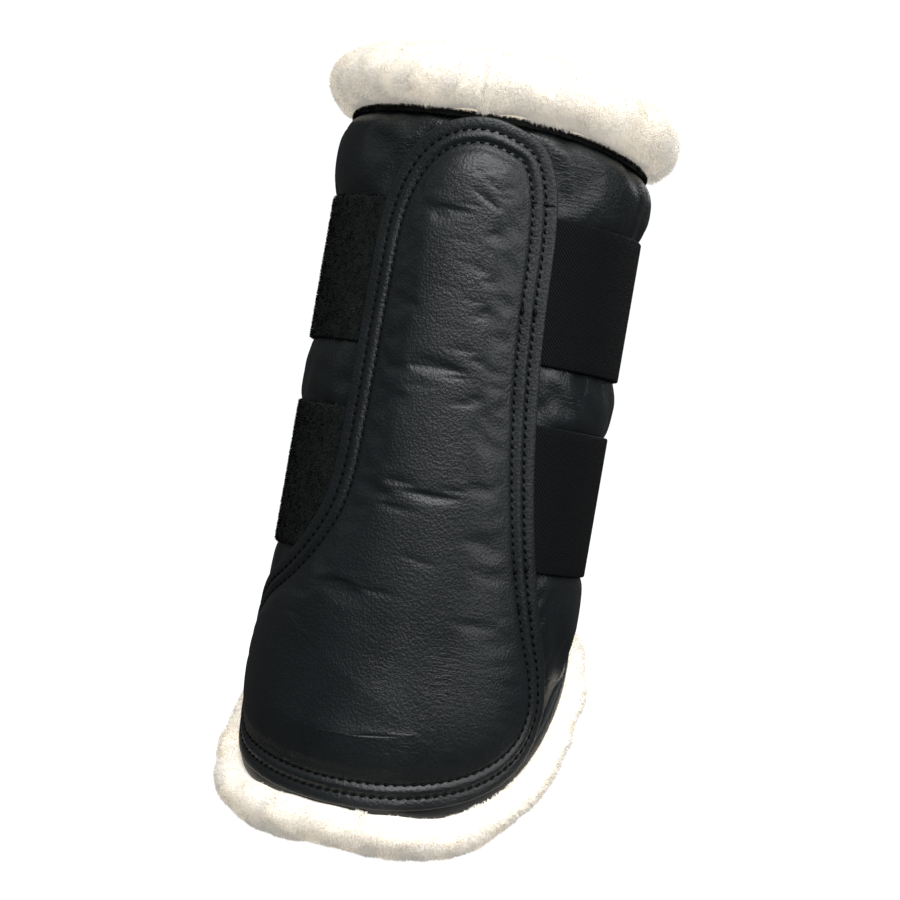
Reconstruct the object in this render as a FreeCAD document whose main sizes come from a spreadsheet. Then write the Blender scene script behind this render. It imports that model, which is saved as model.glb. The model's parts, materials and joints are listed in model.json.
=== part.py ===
import FreeCAD, Part
import math
import os
import Sketcher

# A padded tendon boot for a horse's lower leg, closed on the leg as it is worn.
# The leg runs up +Z through the origin. The strike pad faces -Y. Turns round the leg are degrees
# from the pad's middle, positive towards +X, so the rear seam is at 180.

doc = FreeCAD.newDocument("tendon_boot")
sheet = doc.addObject("Spreadsheet::Sheet", "sizes")


class Size:
    """A length or turn that carries its value and its expression over the spreadsheet's cells."""

    def __init__(self, text, value):
        self.text = text
        self.value = value

    @staticmethod
    def of(other):
        return other if isinstance(other, Size) else Size(repr(float(other)), float(other))

    def __add__(self, other):
        other = Size.of(other)
        return Size(f"({self.text} + {other.text})", self.value + other.value)

    def __sub__(self, other):
        other = Size.of(other)
        return Size(f"({self.text} - {other.text})", self.value - other.value)

    def __mul__(self, other):
        other = Size.of(other)
        return Size(f"({self.text} * {other.text})", self.value * other.value)

    def __truediv__(self, other):
        other = Size.of(other)
        return Size(f"({self.text} / {other.text})", self.value / other.value)

    def __neg__(self):
        return Size(f"(0 - {self.text})", -self.value)


def driving(name, value):
    """Keep one driving dimension in the sheet and give back its named size."""
    row = driving.row = getattr(driving, "row", 0) + 1
    sheet.set(f"A{row}", name)
    sheet.set(f"B{row}", str(value))
    sheet.setAlias(f"B{row}", name)
    return Size(f"sizes.{name}", float(value))


def turn_of(across, radius):
    """The turn round the leg of a point that lies this far across the front at this radius."""
    turn = math.degrees(math.asin(across.value / radius.value))
    return Size(f"(asin({across.text} / {radius.text}) / 1 deg)", turn)


# Layers, from the leg outwards.
channel_radius = driving("channel_radius", 36.0)
lining_thick = driving("lining_thick", 10.0)
foam_thick = driving("foam_thick", 6.6)
cover_thick = driving("cover_thick", 1.2)
band_thick = driving("band_thick", 1.9)
hook_thick = driving("hook_thick", 1.1)
glue_line = driving("glue_line", 0.05)
slip_gap = driving("slip_gap", 0.3)

lining_outer = channel_radius + lining_thick
foam_inner = lining_outer + glue_line
foam_outer = foam_inner + foam_thick
cover_inner = foam_outer + glue_line
cover_outer = cover_inner + cover_thick
band_inner = cover_outer + glue_line
band_outer = band_inner + band_thick

# Heights, from the lowest fleece upwards.
shell_top = driving("shell_top", 253.0)
collar_tall = driving("collar_tall", 24.0)
collar_overhang = driving("collar_overhang", 8.4)
hem_roll_tall = driving("hem_roll_tall", 14.9)
hem_roll_overhang = driving("hem_roll_overhang", 9.2)
roll_inset = driving("roll_inset", 2.0)
roll_round = driving("roll_round", 7.0)
binding_tall = driving("binding_tall", 2.4)
band_tall = driving("band_tall", 50.0)
upper_strap_low = driving("upper_strap_low", 173.5)
lower_strap_low = driving("lower_strap_low", 103.5)
upper_loop_low = driving("upper_loop_low", 171.5)
lower_loop_low = driving("lower_loop_low", 98.5)

# The lower edge of the shell, seen from the side: a lobe below the pad that rises to the rear.
lobe_turn = driving("lobe_turn", -6.5)
lobe_reach = driving("lobe_reach", 46.0)
knee_reach = driving("knee_reach", 14.0)
knee_rise = driving("knee_rise", 24.0)
flank_reach = driving("flank_reach", 8.0)
flank_rise = driving("flank_rise", 50.0)
rear_rise = driving("rear_rise", 68.0)

# Folds and the rear seam, as turns round the leg.
fold_turn = driving("fold_turn", 95.0)
fold_gap = driving("fold_gap", 0.4)
roll_fold_gap = driving("roll_fold_gap", 6.5)
seam_gap = driving("seam_gap", 1.2)
strap_fold_turn = driving("strap_fold_turn", 170.0)
hook_start = driving("hook_start", 188.0)
strap_end = driving("strap_end", 224.0)
tab_turn = driving("tab_turn", 9.0)

# The strike pad, seen from the front.
pad_left = driving("pad_left", 24.0)
pad_right = driving("pad_right", 38.5)
pad_top = driving("pad_top", 252.5)
pad_waist = driving("pad_waist", 180.0)
pad_neck = driving("pad_neck", 104.0)
lobe_left = driving("lobe_left", 56.0)
lobe_right = driving("lobe_right", 54.5)
lobe_shoulder_left = driving("lobe_shoulder_left", 84.0)
lobe_shoulder_right = driving("lobe_shoulder_right", 74.0)
pad_bottom = driving("pad_bottom", 17.5)
pad_top_round = driving("pad_top_round", 25.0)
pad_lobe_round = driving("pad_lobe_round", 24.0)
pad_neck_round = driving("pad_neck_round", 12.0)
strap_tuck = driving("strap_tuck", 9.0)
flange_wide = driving("flange_wide", 12.5)
flange_thick = driving("flange_thick", 1.4)
dome_rise = driving("dome_rise", 3.2)
cut_reach = driving("cut_reach", 120.0)

pad_inner = band_outer + glue_line
flange_outer = pad_inner + flange_thick
dome_outer = flange_outer + dome_rise
hook_inner = band_outer + slip_gap
hook_outer = hook_inner + hook_thick
tail_inner = hook_outer + glue_line
tail_outer = tail_inner + band_thick
doc.recompute()


def new_body(label):
    body = doc.addObject("PartDesign::Body", label)
    body.Label = label
    return body


def side_sketch(body, name, turn):
    """A sketch whose plane holds the leg axis; its first axis points out at the given turn."""
    upright = [plane for plane in body.Origin.OriginFeatures if plane.Role == "XZ_Plane"][0]
    sketch = body.newObject("Sketcher::SketchObject", f"{body.Name}_{name}")
    sketch.AttachmentSupport = [(upright, "")]
    sketch.MapMode = "FlatFace"
    about = turn - 90.0
    spin = FreeCAD.Rotation(FreeCAD.Vector(0, 1, 0), about.value)
    sketch.AttachmentOffset = FreeCAD.Placement(FreeCAD.Vector(0, 0, 0), spin)
    sketch.setExpression("AttachmentOffset.Rotation.Angle", about.text)
    return sketch


def draw_corners(sketch, corners):
    """Close straight lines through the corners, each corner held by its two sizes."""
    points = [FreeCAD.Vector(across.value, up.value, 0) for across, up in corners]
    ends = points[1:] + points[:1]
    lines = [sketch.addGeometry(Part.LineSegment(a, b), False) for a, b in zip(points, ends)]
    for line, following in zip(lines, lines[1:] + lines[:1]):
        sketch.addConstraint(Sketcher.Constraint("Coincident", line, 2, following, 1))
    for line, (across, up) in zip(lines, corners):
        for kind, size in (("DistanceX", across), ("DistanceY", up)):
            rule = sketch.addConstraint(Sketcher.Constraint(kind, -1, 1, line, 1, size.value))
            sketch.renameConstraint(rule, f"{kind}{line}")
            sketch.setExpression(f"Constraints.{kind}{line}", size.text)


def add_feature(body, kind, name, sketch):
    feature = body.newObject(f"PartDesign::{kind}", f"{body.Name}_{name}")
    feature.Profile = sketch
    sketch.Visibility = False
    return feature


def ring(radii, heights):
    """The four corners of a wall's section."""
    (inner, outer), (low, high) = radii, heights
    return [(inner, low), (outer, low), (outer, high), (inner, high)]


def wall(label, radii, heights, turns):
    """A body that is one section swept round the leg between two turns."""
    body = new_body(label)
    start, end = turns
    sketch = side_sketch(body, "section", (start + end) / 2.0)
    draw_corners(sketch, ring(radii, heights))
    sweep = add_feature(body, "Revolution", "sweep", sketch)
    sweep.ReferenceAxis = (sketch, ["V_Axis"])
    sweep.Midplane = True
    sweep.setExpression("Angle", (end - start).text)
    return body


def hem_line(drop):
    """The shell's lower edge from the lobe to the rear, lowered by a drop."""
    low = hem_roll_tall + glue_line * 2.0 - drop
    return [(cut_reach, low), (lobe_reach, low), (knee_reach, low + knee_rise),
            (-flank_reach, low + flank_rise), (-cover_outer, low + rear_rise),
            (-cut_reach, low + rear_rise)]


def cut_by_hem(body, drop, upper=False, may_miss=False):
    """Cut away what lies below the hem line, or what lies above it."""
    doc.recompute()
    before = body.Shape.Volume
    name = "above_hem" if upper else "below_hem"
    far = shell_top if upper else -cut_reach
    sketch = side_sketch(body, name, lobe_turn)
    draw_corners(sketch, hem_line(drop) + [(-cut_reach, far), (cut_reach, far)])
    pocket = add_feature(body, "Pocket", f"cut_{name}", sketch)
    pocket.Type = "ThroughAll"
    pocket.Midplane = True
    doc.recompute()
    if not 0 < body.Shape.Volume < before and not may_miss:
        raise RuntimeError(f"{body.Label}: the {name} cut removed nothing or everything")
    return body


def round_edges(body, name, radius, wanted):
    """Fillet the edges of the body's tip that the test picks."""
    doc.recompute()
    tip = body.Tip
    edges = [f"Edge{i + 1}" for i, edge in enumerate(tip.Shape.Edges) if wanted(edge)]
    fillet = body.newObject("PartDesign::Fillet", f"{body.Name}_{name}")
    fillet.Base = (tip, edges)
    fillet.setExpression("Radius", radius.text)
    doc.recompute()
    return body


none = Size("0", 0.0)
nodes = []
layer_radii = {
    "lining": (channel_radius, lining_outer),
    "foam": (foam_inner, foam_outer),
    "cover": (cover_inner, cover_outer),
}
side_start = fold_turn + fold_gap
side_end = -seam_gap + 180.0
panels = {
    "centre": (-fold_turn + fold_gap, fold_turn - fold_gap),
    "strap_side": (side_start, side_end),
    "loop_side": (-side_end, -side_start),
}
roll_ends = {
    "centre": (-fold_turn + roll_fold_gap, fold_turn - roll_fold_gap),
    "strap_side": (fold_turn + roll_fold_gap, side_end),
    "loop_side": (-side_end, -fold_turn - roll_fold_gap),
}


def build_panel(panel):
    """Lining, foam, cover, two edge bindings, the collar and the hem roll of one panel."""
    turns = panels[panel]
    for layer, radii in layer_radii.items():
        is_lining = layer == "lining"
        top = shell_top if is_lining else shell_top - binding_tall - glue_line
        lift = none if is_lining else binding_tall + glue_line
        piece = wall(f"{layer}_{panel}", radii, (none, top), turns)
        nodes.append(cut_by_hem(piece, -lift))

    binding_radii = (foam_inner, cover_outer)
    trim_heights = (shell_top - binding_tall, shell_top)
    nodes.append(wall(f"top_trim_{panel}", binding_radii, trim_heights, turns))
    hem = wall(f"hem_binding_{panel}", binding_radii, (none, shell_top), turns)
    cut_by_hem(hem, none)
    nodes.append(cut_by_hem(hem, -binding_tall, upper=True))

    roll_inner = channel_radius + roll_inset
    collar_low = shell_top + glue_line
    collar = wall(f"collar_{panel}", (roll_inner, cover_outer + collar_overhang),
                  (collar_low, collar_low + collar_tall), roll_ends[panel])
    nodes.append(round_edges(collar, "round", roll_round, is_round_the_leg))

    roll = wall(f"hem_roll_{panel}", (roll_inner, cover_outer + hem_roll_overhang),
                (-cut_reach, shell_top), roll_ends[panel])
    cut_by_hem(roll, hem_roll_tall + glue_line)
    nodes.append(cut_by_hem(roll, glue_line, upper=True))


def is_round_the_leg(edge):
    """True for an arc whose axis is the leg's."""
    return isinstance(edge.Curve, Part.Circle) and abs(edge.Curve.Axis.z) > 0.99


for panel_name in panels:
    build_panel(panel_name)


# Elastic bands run from under the pad's right edge, round the right side and over the rear seam.
# Loop tapes run from under the pad's left edge to the rear seam.
band_radii = (band_inner, band_outer)
base_left = pad_left - strap_tuck
upper_clear_turn = 4.0
lower_clear_turn = 1.0
loop_clear_turn = 1.5
upper_start = turn_of(pad_right - strap_tuck, band_inner) + upper_clear_turn
lower_start = turn_of(lobe_right - strap_tuck - flange_wide / 2.0, band_inner) + lower_clear_turn
loop_start = -turn_of(base_left, band_inner) - loop_clear_turn
band_end = strap_fold_turn - fold_gap
tail_start = strap_fold_turn + fold_gap


def build_strap(level, low, start):
    """One elastic band in three lengths, its hook tape and its pull tab."""
    heights = (low, low + band_tall)
    root = (start, fold_turn - fold_gap)
    nodes.append(wall(f"{level}_elastic_front", band_radii, heights, root))
    nodes.append(wall(f"{level}_elastic_side", band_radii, heights, (side_start, band_end)))
    tail_radii = (tail_inner, tail_outer)
    nodes.append(wall(f"{level}_elastic_end", tail_radii, heights, (tail_start, strap_end)))
    hook_heights = (low + slip_gap, low + band_tall - slip_gap)
    nodes.append(wall(f"{level}_hook_tape", (hook_inner, hook_outer), hook_heights,
                      (hook_start, strap_end)))
    tab_turns = (strap_end + slip_gap, strap_end + tab_turn)
    nodes.append(wall(f"{level}_pull_tab", (hook_inner, tail_outer + cover_thick), heights,
                      tab_turns))


def build_loop(level, low):
    """One loop tape in two lengths, either side of the fold."""
    heights = (low, low + band_tall)
    front = (-fold_turn + fold_gap, loop_start)
    nodes.append(wall(f"{level}_loop_front", band_radii, heights, front))
    nodes.append(wall(f"{level}_loop_side", band_radii, heights, (-side_end, -side_start)))


build_strap("upper", upper_strap_low, upper_start)
build_strap("lower", lower_strap_low, lower_start)
build_loop("upper", upper_loop_low)
build_loop("lower", lower_loop_low)


# Limits of the pad's cuts, and how near an edge's middle lies to the corner that it rounds.
full_turn = 360.0
groove_reach = cut_reach * 1.5
groove_top = cut_reach * 3.0
corner_reach = 1.0


def pad_corners(inset):
    """The strike pad's outline from the front, drawn in by an inset."""
    return [
        (-(pad_left - inset), pad_top - inset),
        (-(pad_left - inset), pad_neck - inset),
        (-(lobe_left - inset), lobe_shoulder_left - inset),
        (-(lobe_left - inset), pad_bottom + inset),
        (lobe_right - inset, pad_bottom + inset),
        (lobe_right - inset, lobe_shoulder_right - inset),
        (pad_right - inset, pad_waist - inset),
        (pad_right - inset, pad_top - inset),
    ]


def pad_layer(label, inset, radii):
    """A piece with the pad's outline, bent round the leg between two radii."""
    body = new_body(label)
    sketch = side_sketch(body, "outline", Size("90", 90.0))
    draw_corners(sketch, pad_corners(inset))
    blank = add_feature(body, "Pad", "blank", sketch)
    blank.setExpression("Length", cut_reach.text)
    lobe_middle = (lobe_shoulder_left.value + pad_bottom.value) / 2.0
    neck = (-(pad_left - inset).value, (pad_neck - inset).value)

    def crosswise(edge):
        return abs(edge.tangentAt(edge.FirstParameter).y) > 0.99

    def at_top(edge):
        return crosswise(edge) and edge.CenterOfMass.z > (pad_top - inset).value - corner_reach

    def at_neck(edge):
        place = edge.CenterOfMass
        return crosswise(edge) and math.hypot(place.x - neck[0], place.z - neck[1]) < corner_reach

    def at_lobe(edge):
        return crosswise(edge) and edge.CenterOfMass.z < lobe_middle

    round_edges(body, "top_round", pad_top_round - inset, at_top)
    round_edges(body, "neck_round", pad_neck_round, at_neck)
    round_edges(body, "lobe_round", pad_lobe_round - inset / 2.0, at_lobe)
    for name, (near_radius, far_radius) in (("inside", (Size("0", 0.0), radii[0])),
                                            ("outside", (radii[1], groove_reach))):
        doc.recompute()
        before = body.Shape.Volume
        section = side_sketch(body, name, Size("90", 90.0))
        draw_corners(section, ring((near_radius, far_radius), (-cut_reach, groove_top)))
        groove = add_feature(body, "Groove", f"{name}_groove", section)
        groove.ReferenceAxis = (section, ["V_Axis"])
        groove.Angle = full_turn
        doc.recompute()
        if not 0 < body.Shape.Volume < before:
            raise RuntimeError(f"{label}: the {name} groove cut nothing or everything")
    return body


def join(kind, label, base, tool):
    """A boolean of two document objects."""
    result = doc.addObject(f"Part::{kind}", label)
    result.Label = label
    result.Base = base
    result.Tool = tool
    return result


nodes.append(pad_layer("strike_pad_base", strap_tuck, band_radii))
core_inset = flange_wide + cover_thick
core_outer = dome_outer - cover_thick
nodes.append(pad_layer("strike_pad_core", core_inset + glue_line,
                       (pad_inner, core_outer - glue_line)))
flange = pad_layer("pad_flange_blank", none, (pad_inner, flange_outer))
cut_by_hem(flange, none, may_miss=True)
dome = pad_layer("pad_dome_blank", flange_wide, (pad_inner, dome_outer))
core_room = pad_layer("pad_core_room", core_inset, (pad_inner - cover_thick, core_outer))
raised = join("Fuse", "pad_raised_blank", flange, dome)
nodes.append(join("Cut", "strike_pad_cover", raised, core_room))

doc.recompute()
for item in doc.Objects:
    if "Invalid" in item.State or "Error" in item.State:
        raise RuntimeError(f"{item.Label} did not recompute: {item.State}")
for node in nodes:
    if node.Shape.isNull() or not node.Shape.isValid() or not node.Shape.Solids:
        raise RuntimeError(f"{node.Label} has no valid solid")

os.makedirs("parts", exist_ok=True)
for node in nodes:
    node.Shape.exportStep(os.path.join("parts", f"{node.Label}.step"))
print(len(nodes), "pieces written")
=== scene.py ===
import json
import math

import bmesh
import bpy
import numpy as np
from mathutils import Matrix, Vector, kdtree


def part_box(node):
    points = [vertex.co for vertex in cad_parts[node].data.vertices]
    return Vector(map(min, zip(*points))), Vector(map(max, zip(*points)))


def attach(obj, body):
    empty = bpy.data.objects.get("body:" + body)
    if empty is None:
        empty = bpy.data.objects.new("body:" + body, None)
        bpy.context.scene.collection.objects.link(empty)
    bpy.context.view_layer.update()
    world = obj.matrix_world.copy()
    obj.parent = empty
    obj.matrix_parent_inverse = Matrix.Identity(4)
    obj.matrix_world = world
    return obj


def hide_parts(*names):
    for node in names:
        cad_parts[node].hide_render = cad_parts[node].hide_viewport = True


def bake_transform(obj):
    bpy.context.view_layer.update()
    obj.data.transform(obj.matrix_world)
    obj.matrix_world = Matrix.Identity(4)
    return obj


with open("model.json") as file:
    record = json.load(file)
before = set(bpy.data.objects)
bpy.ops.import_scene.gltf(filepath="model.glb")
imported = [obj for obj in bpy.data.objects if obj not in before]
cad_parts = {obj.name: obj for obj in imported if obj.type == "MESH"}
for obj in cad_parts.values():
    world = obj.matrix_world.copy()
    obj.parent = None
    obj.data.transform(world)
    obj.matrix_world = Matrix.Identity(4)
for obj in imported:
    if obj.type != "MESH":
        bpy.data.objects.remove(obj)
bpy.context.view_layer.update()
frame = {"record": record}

bl_info = {
    "name": "Tendon boot",
    "version": (1, 0, 0),
    "blender": (4, 5, 0),
    "location": "3D View > Sidebar > Boot",
    "description": "Builds the soft goods of a padded tendon boot round its CAD frame",
    "category": "Object",
}

MM = 0.001


def box_face(node, end, axis):
    """One face of a CAD node's box: end 0 is the low one, axis 0 is X."""
    return float(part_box(node)[end][axis])


SHELL_RADIUS = box_face("cover_centre", 1, 0)
LINING_RADIUS = box_face("lining_centre", 1, 0)
CHANNEL_RADIUS = frame["record"]["physics"]["openings"][0]["box_m"][1][0] * 1.44
BAND_RADIUS = -box_face("upper_loop_front", 0, 0)
TAIL_RADIUS = BAND_RADIUS + 1.5 * MM
SHELL_TOP = box_face("top_trim_centre", 1, 2)
BOOT_TOP = box_face("collar_centre", 1, 2)
HEM_LOW = box_face("hem_binding_centre", 0, 2)
HEM_RISE = box_face("hem_binding_loop_side", 1, 2) - HEM_LOW
SIGNS = {"right": 1.0, "left": -1.0}
CAD_SIDES = {"right": "strap_side", "left": "loop_side"}
LEVELS = ("upper", "lower")
SEAM_TURN = 178.6


# ---- sizes and colours

def length(name, description, value):
    """A length in millimetres, kept in metres."""
    return bpy.props.FloatProperty(
        name=name, description=description, default=value * MM, min=0.0, unit="LENGTH")


def turn_setting(name, description, value):
    """A turn round the leg, in degrees from the strike pad's middle."""
    return bpy.props.FloatProperty(name=name, description=description, default=value)


class BootSizes(bpy.types.PropertyGroup):
    """Sizes that a user would change."""
    front_turn: turn_setting("Front seam", "Degrees to the hidden seam below the strike pad", 8.0)
    lobe_turn: turn_setting("Lobe", "Degrees to the lowest point of the lower edge", -6.5)
    right_dip: length("Right dip", "Dip of the upper edge at the strap side", 6.5)
    left_dip: length("Left dip", "Dip of the upper edge at the tape side", 2.5)
    stitch_pitch: length("Stitch pitch", "Distance from stitch to stitch", 3.0)
    stitch_long: length("Stitch length", "Length of thread that shows", 2.2)
    thread_radius: length("Thread radius", "Half the thickness of the thread", 0.46)
    outer_row: length("Outer row", "Outer stitch row, in from the flange edge", 4.3)
    inner_row: length("Inner row", "Inner stitch row, in from the flange edge", 8.8)
    flange_under: length("Flange underside", "Height of the flange above the shell", 1.0)
    flange_thick: length("Flange thickness", "Thickness of the pad's flange", 1.7)
    dome_rise: length("Dome rise", "Height of the pad's dome above its flange", 3.6)
    elastic_thick: length("Elastic thickness", "Thickness of the elastic band", 1.9)
    hem_wide: length("Hem width", "Width of the smooth binding", 8.0)
    pile_long: length("Pile length", "Length of the fleece pile", 2.9)
    clump: length("Clump", "Distance between clumps of the pile", 5.0)


def colour(name, description, value):
    """A colour as linear red, green and blue."""
    return bpy.props.FloatVectorProperty(
        name=name, description=description, subtype="COLOR", size=3, min=0, max=1, default=value)


class BootColours(bpy.types.PropertyGroup):
    """Colours that a user would change."""
    leather: colour("Leather", "Coated leather look", (0.0032, 0.0047, 0.0055))
    # The high-spot colour is painted highlight on the leather's raised grain.
    leather_painted_highlight: colour("Leather, high spots", "Coated leather on its ridges",
                         (0.0072, 0.0104, 0.0122))
    elastic: colour("Elastic", "Elastic webbing", (0.0023, 0.0025, 0.0028))
    loops: colour("Loop tape", "Brushed loop tape", (0.036, 0.043, 0.041))
    thread: colour("Thread", "Sewing thread", (0.0005, 0.0005, 0.0006))
    fleece_tip: colour("Fleece tips", "Ends of the fleece pile", (0.97, 0.94, 0.88))
    # The root colour is painted shade deep in the pile.
    fleece_root_shade: colour("Fleece roots", "Depth of the fleece pile", (0.86, 0.79, 0.68))
    paper: colour("Backdrop", "Floor and backdrop", (0.3, 0.3, 0.3))


def sizes():
    return bpy.context.scene.boot_sizes


def colours():
    return bpy.context.scene.boot_colours


# ---- shader maths

class Value:
    """A socket that carries a number, with the operators that shader maths needs."""

    def __init__(self, shader, socket):
        self.shader = shader
        self.socket = socket

    def maths(self, operation, *others, **settings):
        settings["operation"] = operation
        inputs = {number: item for number, item in enumerate((self,) + others)}
        return self.shader.node("ShaderNodeMath", settings, inputs)

    def __add__(self, other):
        return self.maths("ADD", other)

    def __mul__(self, other):
        return self.maths("MULTIPLY", other)

    def __sub__(self, other):
        return self.maths("SUBTRACT", other)

    def __rsub__(self, other):
        return self.maths("MULTIPLY", -1.0).maths("ADD", other)

    def __abs__(self):
        return self.maths("ABSOLUTE")

    __radd__ = __add__
    __rmul__ = __mul__

    def wave(self):
        return self.maths("SINE") * 0.5 + 0.5

    def between(self, low, high):
        inputs = {"Value": self, "From Min": low, "From Max": high}
        return self.shader.node("ShaderNodeMapRange", {"clamp": True}, inputs)


class Shader:
    """One material, its principled shader and the way to add nodes to it."""

    def __init__(self, name, **finish):
        self.material = bpy.data.materials.new(f"boot_{name}")
        self.material.use_nodes = True
        self.tree = self.material.node_tree
        self.surface = self.tree.nodes["Principled BSDF"]
        for socket, value in finish.items():
            self.surface.inputs[socket.replace("_", " ")].default_value = value

    def node(self, kind, settings=None, inputs=None, output=0):
        node = self.tree.nodes.new(kind)
        for key, value in (settings or {}).items():
            setattr(node, key, value)
        for key, value in (inputs or {}).items():
            if isinstance(value, Value):
                self.tree.links.new(value.socket, node.inputs[key])
            else:
                node.inputs[key].default_value = value
        return Value(self, node.outputs[output])

    def feed(self, socket, value):
        self.tree.links.new(value.socket, self.surface.inputs[socket])

    def place(self, stretch=(1, 1, 1)):
        """Object coordinates, stretched."""
        where = self.node("ShaderNodeTexCoord", output=3)
        return self.node("ShaderNodeMapping", inputs={"Vector": where, "Scale": stretch})

    def flat(self):
        """The two coordinates of the piece's cloth, laid flat, in metres."""
        where = self.node("ShaderNodeUVMap", {"uv_map": "cloth"})
        along = self.node("ShaderNodeSeparateXYZ", inputs={"Vector": where})
        return along, Value(self, along.socket.node.outputs[1])

    def noise(self, scale, detail=2.0, where=None, **inputs):
        values = {"Vector": where or self.place(), "Scale": scale, "Detail": detail, **inputs}
        return self.node("ShaderNodeTexNoise", None, values)

    def mix(self, factor, first, second):
        """A colour between two colours."""
        node = self.tree.nodes.new("ShaderNodeMix")
        node.data_type = "RGBA"
        for number, item in ((0, factor), (6, first), (7, second)):
            if isinstance(item, Value):
                self.tree.links.new(item.socket, node.inputs[number])
            else:
                flat = item if isinstance(item, (int, float)) else (*item, 1.0)
                node.inputs[number].default_value = flat
        return Value(self, node.outputs[2])

    def bump(self, height, depth):
        raised = self.node("ShaderNodeBump", None, {"Height": height, "Distance": depth})
        self.feed("Normal", raised)


def spot(shader, turn, height, size):
    """A soft round patch on the shell, from 1 in its middle to 0 at its size."""
    middle = on_leg(turn, SHELL_RADIUS, height)
    away = shader.node("ShaderNodeVectorMath", {"operation": "DISTANCE"},
                       {0: shader.place(), 1: middle}, output=1)
    return 1.0 - away.between(0.25 * size, size)


def leather(name, grain_depth, creases, roughness, crackle_spots, pucker_spots):
    """Coated leather look: a fine pebble, crackled patches and puckers that run level."""
    shader = Shader(name, Specular_IOR_Level=0.47)
    pebble = shader.node("ShaderNodeTexVoronoi", {"feature": "F1"},
                         {"Vector": shader.place(), "Scale": 1000.0})
    fine = shader.noise(2300.0, 1.0)
    rolling = shader.noise(55.0, 1.0)
    wander = shader.noise(170.0, 4.0, shader.place((1.0, 1.0, 2.2)), Distortion=1.6)
    crease = 1.0 - (abs(wander - 0.5) * 16.0).between(0.0, 1.0)
    patch = shader.noise(24.0, 1.0).between(0.52, 0.7) * 0.6
    for place in crackle_spots:
        patch = patch + spot(shader, *place)
    pucker = shader.noise(95.0, 2.0, shader.place((1.0, 1.0, 8.0)), Distortion=0.6)
    gathered = 1.0 - (abs(pucker - 0.5) * 9.0).between(0.0, 1.0)
    gathers = sum((spot(shader, *place) for place in pucker_spots), 0.0)
    lined = crease * patch * creases + gathered * gathers * 0.7
    height = pebble * 0.6 + fine * 0.35 - lined * 0.75 + rolling * 1.2
    shader.bump(height, grain_depth)
    # Painted light: the colour is lighter where the grain and swells rise, as painted highlight,
    # and darker in the creases and puckers, as painted shade.
    painted_grain_light = (pebble * 0.6 + rolling * 0.6 - lined * 0.15).between(0.2, 0.95)
    paint = colours()
    shader.feed("Base Color", shader.mix(painted_grain_light, paint.leather, paint.leather_painted_highlight))
    shader.feed("Roughness", (rolling * 0.16 + fine * 0.10 + lined * 0.12 + (roughness - 0.13)))
    return shader.material


# Where the leather is crackled or gathered: turn, height and size.
PAD_CRACKLES = ((40.0, 86.0 * MM, 15.0 * MM), (32.0, 60.0 * MM, 17.0 * MM),
                (-6.0, 150.0 * MM, 12.0 * MM), (14.0, 205.0 * MM, 13.0 * MM))
PAD_PUCKERS = ((30.0, 66.0 * MM, 16.0 * MM), (16.0, 233.0 * MM, 12.0 * MM))
SHELL_PUCKERS = ((47.0, 238.0 * MM, 19.0 * MM), (-26.0, 243.0 * MM, 15.0 * MM),
                 (62.0, 163.0 * MM, 9.0 * MM), (170.0, 238.0 * MM, 16.0 * MM),
                 (-172.0, 160.0 * MM, 12.0 * MM))


def elastic_webbing():
    """Elastic webbing: fine diagonal twill over flat ribs."""
    shader = Shader("elastic_webbing", Specular_IOR_Level=0.07, Sheen_Weight=0.0,
                    Sheen_Roughness=0.5)
    along, up = shader.flat()
    per_metre = 2 * math.pi / (1.35 * MM)
    twill = ((along + up) * per_metre).wave()
    picks = (up * (per_metre * 1.9)).wave()
    fluff = shader.noise(1600.0, 3.0)
    height = twill * 0.8 + picks * 0.25 + fluff * 0.35
    shader.bump(height, 0.00032)
    shade = (twill * 0.7 + fluff * 0.5).between(0.1, 1.1)
    dark = tuple(0.45 * part for part in colours().elastic)
    light = tuple(5.0 * part for part in colours().elastic)
    shader.feed("Base Color", shader.mix(shade, dark, light))
    shader.feed("Roughness", fluff * 0.2 + 0.62)
    return shader.material


def pile_material(name, root, tip, finish):
    """Pile that is darker in its depth as painted shade, with soft mottling."""
    shader = Shader(name, **finish)
    depth = shader.node("ShaderNodeAttribute", {"attribute_name": "pile"}, output=2)
    mottle = shader.noise(120.0, 3.0)
    streak = shader.noise(900.0, 2.0)
    lit = (depth * 0.85 + mottle * 0.45 + streak * 0.2 - 0.2).between(0.0, 1.0)
    shade = shader.mix(lit, root, tip)
    shader.feed("Base Color", shade)
    # Its colour also feeds the emission: a painted glow wherever the finish gives an emission
    # strength.
    shader.feed("Emission Color", shade)
    shader.feed("Roughness", streak * 0.1 + 0.86)
    shader.bump(streak * 0.6 + mottle * 0.4, 0.0004)
    return shader.material


def brushed_textile(name, tint):
    """Matte black textile below a short pile, or moulded hooks."""
    shader = Shader(name, Specular_IOR_Level=0.2, Sheen_Weight=0.08, Sheen_Roughness=0.6)
    weave = shader.noise(1400.0, 4.0)
    shader.bump(weave, 0.0005)
    light = tuple(2.2 * part for part in tint)
    shader.feed("Base Color", shader.mix(weave.between(0.3, 0.75), tint, light))
    shader.feed("Roughness", weave * 0.15 + 0.8)
    return shader.material


def thread_material():
    """Bonded sewing thread."""
    shader = Shader("thread", Specular_IOR_Level=0.12)
    twist = shader.noise(3000.0, 2.0)
    shader.bump(twist, 0.0001)
    light = tuple(2.5 * part for part in colours().thread)
    shader.feed("Base Color", shader.mix(twist, colours().thread, light))
    shader.feed("Roughness", twist * 0.2 + 0.45)
    return shader.material


def paper_material():
    """Plain matte paper of the floor and backdrop."""
    shader = Shader("backdrop_paper", Roughness=0.95, Specular_IOR_Level=0.1,
                    Emission_Color=(1.0, 1.0, 1.0, 1.0), Emission_Strength=0.93)
    fibre = shader.noise(4.0, 2.0)
    paper = colours().paper
    shader.feed("Base Color", shader.mix(fibre, paper, tuple(0.99 * part for part in paper)))
    return shader.material


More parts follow.
